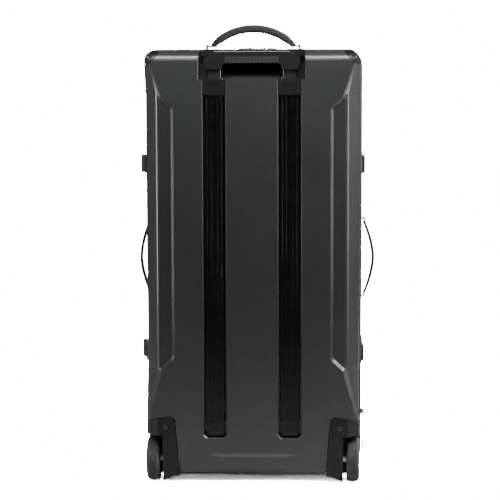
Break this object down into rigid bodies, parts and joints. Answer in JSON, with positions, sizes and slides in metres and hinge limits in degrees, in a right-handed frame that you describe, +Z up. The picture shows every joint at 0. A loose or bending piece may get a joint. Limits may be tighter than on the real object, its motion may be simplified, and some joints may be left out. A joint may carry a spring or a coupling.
{
  "type": "wheeled gear case",
  "caption": "Upright wheeled case with a hard moulded back shell, a zipped fabric front and a telescopic pull handle.",
  "frame": {"origin": "on the floor, in the middle of the case's box", "axes": "+Z up; +Y towards the fabric front; +X to the right, looking at the hard back"},
  "size_m": [0.5124, 0.344, 0.949],
  "materials": {
    "shell_plastic": "satin charcoal moulding, fine texture",
    "guard_plastic": "matte near-black moulding",
    "grip_plastic": "semi-gloss black",
    "grip_rubber": "ribbed matte rubber",
    "buckle_plastic": "black acetal, low gloss",
    "tube_black": "gloss black",
    "tube_metal": "dark anodised",
    "bright_steel": "bright",
    "dark_metal": "black coated",
    "tyre": "matte",
    "body_fabric": "coated ballistic weave",
    "handle_fabric": "diagonal twill",
    "webbing": "flat woven webbing",
    "zip_tape": "coated tape with coil",
    "lining": "plain lining",
    "board": "extruded board"
  },
  "bodies": {
    "root": {"back_shell": "shell_plastic", "corner_guards": "guard_plastic", "corner_guard_screws": "dark_metal", "wheel_housing_left": "guard_plastic", "wheel_housing_right": "guard_plastic", "housing_screws": "dark_metal", "outer_tube_left": "tube_black", "outer_tube_right": "tube_black", "tube_collars": "guard_plastic", "tube_end_caps": "guard_plastic", "well_cap": "guard_plastic", "axles": "bright_steel", "rim_binding": "webbing", "tube_liner": "lining", "base_stiffener": "board", "fabric_body": "body_fabric", "body_zip_tape": "zip_tape", "front_feet": "guard_plastic", "foot_screws": "dark_metal", "top_handle_anchors": "dark_metal", "side_handle_anchors": "dark_metal", "buckle_sockets": "buckle_plastic", "strap_loops": "webbing", "tail_anchor": "buckle_plastic"},
    "handle_stage": {"middle_tube_left": "tube_metal", "middle_tube_right": "tube_metal"},
    "handle_grip": {"inner_tube_left": "tube_metal", "inner_tube_right": "tube_metal", "grip": "grip_plastic", "grip_pad": "grip_rubber"},
    "release_button": {"grip_button": "grip_plastic", "button_spring": "bright_steel", "lock_rods": "bright_steel"},
    "wheel_left": {"wheel_tyre_left": "tyre", "wheel_hub_left": "guard_plastic", "wheel_bearings_left": "bright_steel"},
    "side_handle_left": {"side_handle_left": "webbing"},
    "zip_slider_left": {"zip_slider_left": "dark_metal"},
    "zip_pull_left": {"zip_pull_left": "grip_rubber"},
    "buckle_clip_upper_left": {"buckle_clip_upper_left": "buckle_plastic", "clip_webbing_upper_left": "webbing"},
    "buckle_clip_lower_left": {"buckle_clip_lower_left": "buckle_plastic", "clip_webbing_lower_left": "webbing"},
    "wheel_right": {"wheel_tyre_right": "tyre", "wheel_hub_right": "guard_plastic", "wheel_bearings_right": "bright_steel"},
    "side_handle_right": {"side_handle_right": "webbing"},
    "zip_slider_right": {"zip_slider_right": "dark_metal"},
    "zip_pull_right": {"zip_pull_right": "grip_rubber"},
    "buckle_clip_upper_right": {"buckle_clip_upper_right": "buckle_plastic", "clip_webbing_upper_right": "webbing"},
    "buckle_clip_lower_right": {"buckle_clip_lower_right": "buckle_plastic", "clip_webbing_lower_right": "webbing"},
    "lid": {"front_lid": "body_fabric", "lid_zip_tape": "zip_tape", "front_pocket": "body_fabric", "upper_pocket": "body_fabric"},
    "carry_handle": {"carry_handle": "handle_fabric"},
    "strap_tail": {"strap_tail": "webbing"},
    "pocket_slider": {"pocket_slider": "dark_metal"}
  },
  "joints": [
    {"name": "stage_slide", "type": "slide", "parent": "root", "child": "handle_stage", "axis": [0, 0, 1], "range_m": [0, 0.19]},
    {"name": "grip_slide", "type": "slide", "parent": "handle_stage", "child": "handle_grip", "axis": [0, 0, 1], "range_m": [0, 0.19]},
    {"name": "button_press", "type": "slide", "parent": "handle_grip", "child": "release_button", "axis": [0, 0, 1], "range_m": [-0.0025, 0], "stiffness_N_per_m": 600, "springref_m": 0.001, "deforming": ["button_spring"]},
    {"name": "wheel_spin_left", "type": "hinge", "parent": "root", "child": "wheel_left", "pos_m": [-0.208, -0.126, 0.046], "axis": [1, 0, 0], "continuous": true},
    {"name": "wheel_spin_right", "type": "hinge", "parent": "root", "child": "wheel_right", "pos_m": [0.208, -0.126, 0.046], "axis": [1, 0, 0], "continuous": true},
    {"name": "lid_hinge", "type": "hinge", "parent": "root", "child": "lid", "pos_m": [0, 0.161, 0.072], "axis": [-1, 0, 0], "range_deg": [0, 90]},
    {"name": "carry_handle_hinge", "type": "hinge", "parent": "root", "child": "carry_handle", "pos_m": [0, -0.086, 0.905], "axis": [1, 0, 0], "range_deg": [-55, 55]},
    {"name": "side_handle_hinge_left", "type": "hinge", "parent": "root", "child": "side_handle_left", "pos_m": [-0.233, 0.06, 0.452], "axis": [0, 0, 1], "range_deg": [-20, 20]},
    {"name": "side_handle_hinge_right", "type": "hinge", "parent": "root", "child": "side_handle_right", "pos_m": [0.233, 0.06, 0.452], "axis": [0, 0, 1], "range_deg": [-20, 20]},
    {"name": "strap_tail_hinge", "type": "hinge", "parent": "root", "child": "strap_tail", "pos_m": [0.232, 0.03, 0.118], "axis": [0, -1, 0], "range_deg": [0, 60]},
    {"name": "zip_slide_left", "type": "slide", "parent": "root", "child": "zip_slider_left", "axis": [-1, 0, 0], "range_m": [0, 0.15]},
    {"name": "zip_pull_hinge_left", "type": "hinge", "parent": "zip_slider_left", "child": "zip_pull_left", "pos_m": [-0.015, 0.11, 0.9057], "axis": [0, 1, 0], "range_deg": [0, 100]},
    {"name": "zip_slide_right", "type": "slide", "parent": "root", "child": "zip_slider_right", "axis": [1, 0, 0], "range_m": [0, 0.15]},
    {"name": "zip_pull_hinge_right", "type": "hinge", "parent": "zip_slider_right", "child": "zip_pull_right", "pos_m": [0.015, 0.11, 0.9057], "axis": [0, -1, 0], "range_deg": [0, 100]},
    {"name": "pocket_zip_slide", "type": "slide", "parent": "lid", "child": "pocket_slider", "axis": [1, 0, 0], "range_m": [0, 0.236]},
    {"name": "clip_release_upper_left", "type": "slide", "parent": "root", "child": "buckle_clip_upper_left", "axis": [0, 1, 0], "range_m": [0, 0.014]},
    {"name": "clip_release_lower_left", "type": "slide", "parent": "root", "child": "buckle_clip_lower_left", "axis": [0, 1, 0], "range_m": [0, 0.014]},
    {"name": "clip_release_upper_right", "type": "slide", "parent": "root", "child": "buckle_clip_upper_right", "axis": [0, 1, 0], "range_m": [0, 0.014]},
    {"name": "clip_release_lower_right", "type": "slide", "parent": "root", "child": "buckle_clip_lower_right", "axis": [0, 1, 0], "range_m": [0, 0.014]}
  ]
}
